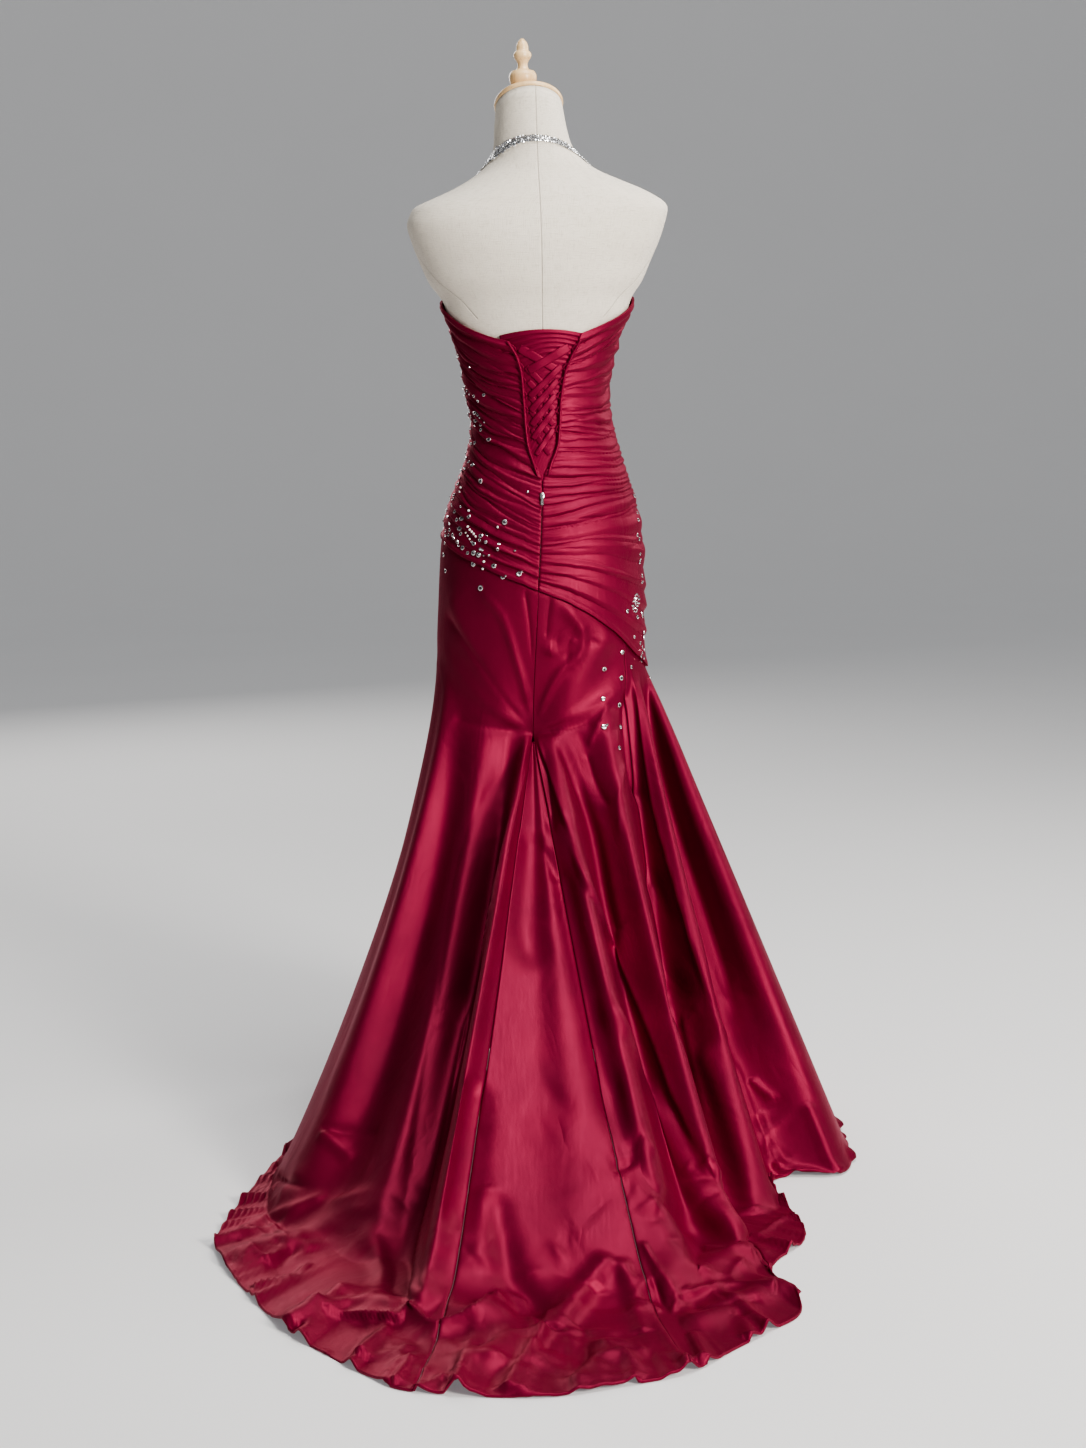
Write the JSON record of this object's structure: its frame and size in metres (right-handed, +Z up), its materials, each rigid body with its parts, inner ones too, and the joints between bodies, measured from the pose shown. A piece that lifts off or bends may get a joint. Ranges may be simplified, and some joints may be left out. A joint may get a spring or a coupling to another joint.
{
  "type": "mermaid evening gown on dress form",
  "caption": "Mermaid gown in wine satin with a beaded halter strap, ruched laced back, slanting drop waist, godet and long train, on a limbless linen dress form.",
  "frame": {"origin": "centre of the stand base's underside, on the floor", "axes": "+Z up along the stand's post; the wearer's front faces -Y and the train runs out to +Y; the wearer's left is +X"},
  "size_m": [0.91, 1.412, 1.6348],
  "materials": {
    "satin": "lustrous wine-red duchess satin",
    "linen": "natural linen cover",
    "maple": "turned pale maple, satin varnish",
    "crystal": "clear cut crystals, pearls and foil-backed sequins",
    "zip_metal": "small bright zip parts"
  },
  "bodies": {
    "gown_on_form": {"bodice_back_left": "satin", "bodice_back_right": "satin", "bodice_front": "satin", "modesty_panel": "satin", "lace_down_right_1": "satin", "lace_down_left_1": "satin", "lace_down_right_2": "satin", "lace_down_left_2": "satin", "lace_down_right_3": "satin", "lace_down_left_3": "satin", "lace_down_right_4": "satin", "lace_down_left_4": "satin", "lace_down_right_5": "satin", "lace_down_left_5": "satin", "lace_down_right_6": "satin", "lace_down_left_6": "satin", "v_piping_left": "satin", "v_piping_right": "satin", "zip_chain": "zip_metal", "zip_slider": "zip_metal", "skirt_godet": "satin", "skirt_back_left": "satin", "skirt_front": "satin", "skirt_pleats_right": "satin", "skirt_back_right": "satin", "halter_strap": "crystal", "form_torso": "linen", "form_neck_cap": "maple", "form_finial": "maple", "stand_post": "maple", "stand_base": "maple"},
    "pull_tab": {"zip_pull_tab": "zip_metal"}
  },
  "joints": [
    {"name": "pull_tab_swing", "type": "hinge", "parent": "gown_on_form", "child": "pull_tab", "pos_m": [0.01053, 0.106, 0.96056], "axis": [0.9963, -0.0696, 0.0496], "range_deg": [0, 150]}
  ]
}
